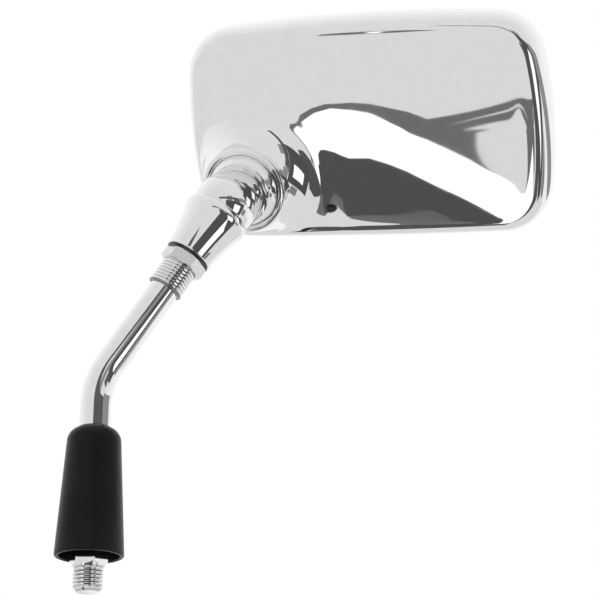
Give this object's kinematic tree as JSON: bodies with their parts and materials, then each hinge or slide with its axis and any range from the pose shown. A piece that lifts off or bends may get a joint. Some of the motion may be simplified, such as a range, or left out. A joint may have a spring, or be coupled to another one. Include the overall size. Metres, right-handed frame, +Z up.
{
  "type": "motorcycle mirror",
  "caption": "Chrome motorcycle mirror with a rectangular head on a ball joint, a cast elbow, a bent stem with a threaded stud and a rubber boot.",
  "frame": {"origin": "centre of the spanner hexagon's lower face, on the stud's axis", "axes": "+Z up the stud's axis into the stem, +X towards the side that the stem's upper stretch leans to, +Y so that the head's back faces -Y"},
  "size_m": [0.172, 0.0888, 0.2101],
  "materials": {
    "chrome_rod": "polished",
    "chrome_casting": "polished",
    "chrome_shell": "polished",
    "black_ring": "satin",
    "boot_rubber": "satin",
    "gasket_rubber": "matte",
    "pad_foam": "matte",
    "mirror": "polished",
    "black_plastic": "moulded",
    "seat_plastic": "moulded",
    "zinc_steel": "zinc plated",
    "spring_steel": "oiled"
  },
  "bodies": {
    "stem": {"stem": "chrome_rod", "thread_bush": "chrome_rod"},
    "boot": {"rubber_boot": "boot_rubber"},
    "nut": {"lock_nut": "chrome_rod"},
    "elbow": {"elbow_arm": "chrome_casting", "end_washer": "black_ring"},
    "inner_seat": {"inner_ball_seat": "seat_plastic"},
    "outer_seat": {"outer_ball_seat": "seat_plastic"},
    "head": {"mirror_housing": "chrome_shell", "mirror_glass": "mirror", "glass_gasket": "gasket_rubber", "foam_pad": "pad_foam", "backing_plate": "black_plastic", "clamp_plate": "zinc_steel", "clamp_screw_1": "zinc_steel", "clamp_screw_2": "zinc_steel", "clamp_screw_3": "zinc_steel", "spring_washer_1": "spring_steel", "spring_washer_2": "spring_steel", "spring_washer_3": "spring_steel"}
  },
  "joints": [
    {"name": "boot_slide", "type": "slide", "parent": "stem", "child": "boot", "axis": [0, 0, 1], "range_m": [0, 0.005]},
    {"name": "nut_turn", "type": "hinge", "parent": "stem", "child": "nut", "pos_m": [0.02809, 0, 0.10726], "axis": [0.5402, 0, 0.8415], "continuous": true},
    {"name": "elbow_swivel", "type": "hinge", "parent": "stem", "child": "elbow", "pos_m": [0.03025, 0, 0.11062], "axis": [0.5402, 0, 0.8415], "range_deg": [-180, 180]},
    {"name": "head_tilt", "type": "hinge", "parent": "elbow", "child": "inner_seat", "pos_m": [0.04965, 0.01642, 0.14457], "axis": [0.9449, -0.3027, -0.1246], "range_deg": [-14, 14]},
    {"name": "head_pan", "type": "hinge", "parent": "inner_seat", "child": "outer_seat", "pos_m": [0.04965, 0.01642, 0.14457], "axis": [-0.1067, -0.6448, 0.7569], "range_deg": [-14, 14]},
    {"name": "head_roll", "type": "hinge", "parent": "outer_seat", "child": "head", "pos_m": [0.04965, 0.01642, 0.14457], "axis": [-0.3095, -0.7018, -0.6416], "continuous": true}
  ]
}
